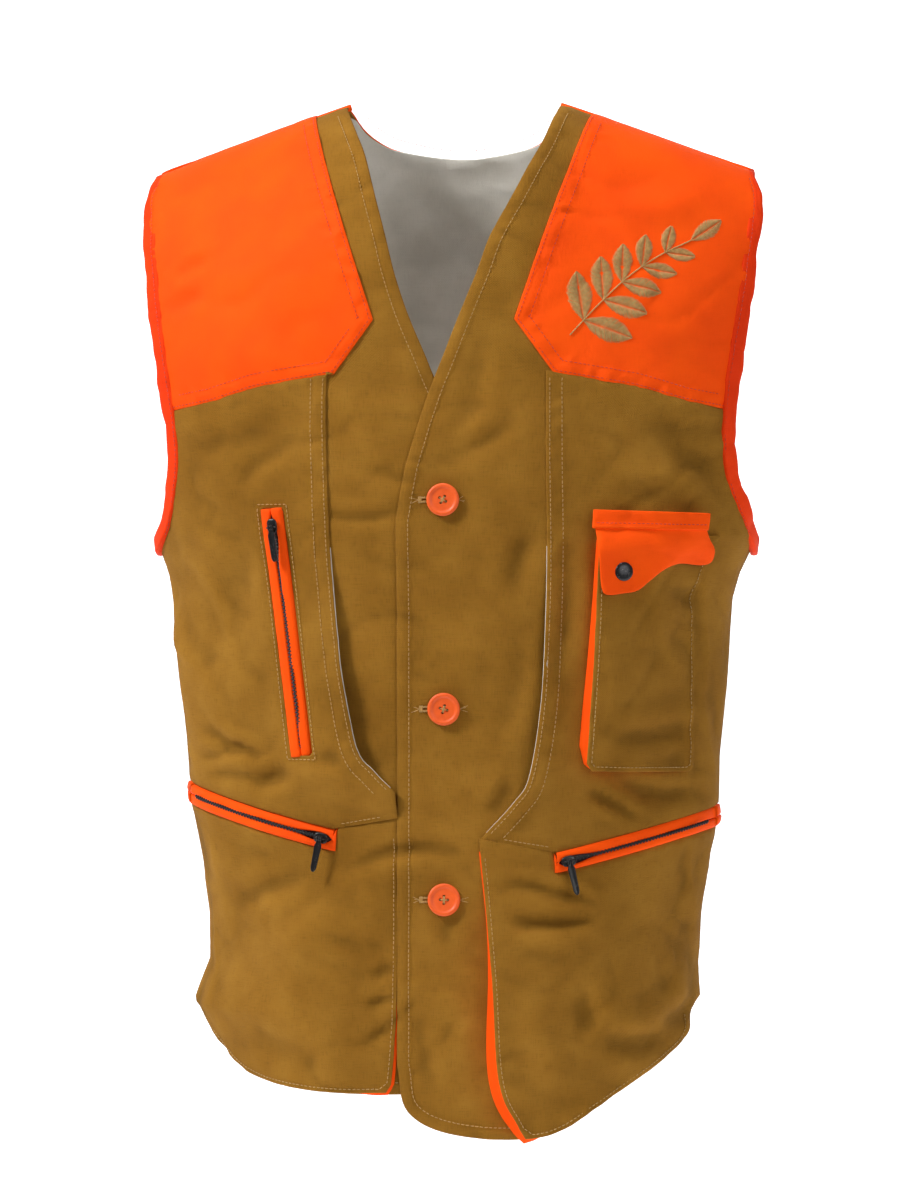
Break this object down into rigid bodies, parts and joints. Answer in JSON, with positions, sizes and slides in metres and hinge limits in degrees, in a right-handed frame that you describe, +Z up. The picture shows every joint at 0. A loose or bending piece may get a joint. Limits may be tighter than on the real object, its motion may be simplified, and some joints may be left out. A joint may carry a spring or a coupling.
{
  "type": "hunting vest",
  "caption": "Sleeveless V-neck canvas hunting vest with bright orange shoulders, bindings and zip bands, buttoned front, patch pockets and a snap flap.",
  "frame": {"origin": "midway between the two neck points, on the shoulder line", "axes": "+Z up, -Y towards the wearer's front, +X towards the wearer's left"},
  "size_m": [0.4266, 0.2434, 0.7087],
  "materials": {
    "tan_canvas": "plain woven cotton canvas, soft",
    "orange_cloth": "fluorescent woven polyester, faint sheen",
    "orange_binding": "fluorescent folded tape",
    "white_lining": "plain cotton",
    "tan_thread": "twisted thread",
    "orange_button": "satin moulded",
    "dark_metal": "gunmetal gloss",
    "black_coil": "moulded coil",
    "black_metal": "black enamel"
  },
  "bodies": {
    "torso": {"back_panel": "tan_canvas", "back_lining": "white_lining", "back_yoke": "orange_cloth", "back_hem_facing": "orange_cloth", "shoulder_front_l": "tan_canvas", "shoulder_lining_l": "white_lining", "shoulder_patch_l": "orange_cloth", "arm_binding_l": "orange_binding", "shoulder_front_r": "tan_canvas", "shoulder_lining_r": "white_lining", "shoulder_patch_r": "orange_cloth", "arm_binding_r": "orange_binding"},
    "left_front": {"front_panel_l": "tan_canvas", "placket_facing_l": "tan_canvas", "front_lining_l": "white_lining", "buttonhole_1": "tan_thread", "buttonhole_2": "tan_thread", "buttonhole_3": "tan_thread", "arm_binding_front_l": "orange_binding", "overlay_l": "tan_canvas", "mouth_edging_l": "white_lining", "lower_pocket_l": "tan_canvas", "pocket_gusset_l": "orange_cloth", "lower_zip_welts_l": "orange_cloth", "lower_zip_teeth_l": "black_coil", "chest_pocket_front": "tan_canvas", "chest_pocket_gusset": "orange_cloth", "flap_band": "orange_cloth", "snap_stud": "dark_metal"},
    "right_front": {"front_panel_r": "tan_canvas", "placket_facing_r": "tan_canvas", "front_lining_r": "white_lining", "arm_binding_front_r": "orange_binding", "overlay_r": "tan_canvas", "mouth_edging_r": "white_lining", "lower_pocket_r": "tan_canvas", "pocket_gusset_r": "orange_cloth", "lower_zip_welts_r": "orange_cloth", "lower_zip_teeth_r": "black_coil", "chest_zip_welts": "orange_cloth", "chest_zip_teeth": "black_coil", "button_1": "orange_button", "button_2": "orange_button", "button_3": "orange_button", "button_thread_1": "tan_thread", "button_thread_2": "tan_thread", "button_thread_3": "tan_thread"},
    "chest_flap": {"chest_flap": "orange_cloth", "snap_cap": "dark_metal", "snap_socket": "dark_metal"},
    "chest_slider": {"chest_slider": "black_metal"},
    "chest_pull": {"chest_pull": "black_metal"},
    "lower_slider_l": {"lower_slider_l": "black_metal"},
    "lower_pull_l": {"lower_pull_l": "black_metal"},
    "lower_slider_r": {"lower_slider_r": "black_metal"},
    "lower_pull_r": {"lower_pull_r": "black_metal"}
  },
  "joints": [
    {"name": "left_front_open", "type": "hinge", "parent": "torso", "child": "left_front", "pos_m": [0.2096, 0, -0.3], "axis": [0.1172, 0, 0.9931], "range_deg": [0, 60]},
    {"name": "right_front_open", "type": "hinge", "parent": "torso", "child": "right_front", "pos_m": [-0.2096, 0, -0.3], "axis": [0.1172, 0, -0.9931], "range_deg": [0, 30]},
    {"name": "chest_flap_open", "type": "hinge", "parent": "left_front", "child": "chest_flap", "pos_m": [0.10461, -0.12217, -0.295], "axis": [-0.8868, -0.4622, 0], "range_deg": [0, 140]},
    {"name": "chest_slider_run", "type": "slide", "parent": "right_front", "child": "chest_slider", "axis": [0.1193, 0.0282, -0.9925], "range_m": [0, 0.14]},
    {"name": "chest_pull_swing", "type": "hinge", "parent": "chest_slider", "child": "chest_pull", "pos_m": [-0.11698, -0.11178, -0.29435], "axis": [-0.9484, 0.2991, -0.1055], "range_deg": [0, 150]},
    {"name": "lower_slider_l_run", "type": "hinge", "parent": "left_front", "child": "lower_slider_l", "pos_m": [0.04604, 0.06116, -0.51953], "axis": [-0.2238, -0.0398, 0.9738], "range_deg": [0, 37]},
    {"name": "lower_pull_l_swing", "type": "hinge", "parent": "lower_slider_l", "child": "lower_pull_l", "pos_m": [0.08419, -0.111, -0.5178], "axis": [-0.9503, -0.2129, -0.2271], "range_deg": [0, 140]},
    {"name": "lower_slider_r_run", "type": "hinge", "parent": "right_front", "child": "lower_slider_r", "pos_m": [-0.04905, 0.0608, -0.49628], "axis": [0.2108, -0.0823, 0.9741], "range_deg": [-37, 0]},
    {"name": "lower_pull_r_swing", "type": "hinge", "parent": "lower_slider_r", "child": "lower_pull_r", "pos_m": [-0.08412, -0.11025, -0.50315], "axis": [-0.9567, 0.1872, 0.2228], "range_deg": [0, 140]}
  ],
  "couplings": [
    {"joint": "right_front_open", "follows": "left_front_open", "ratio": 0.5}
  ]
}
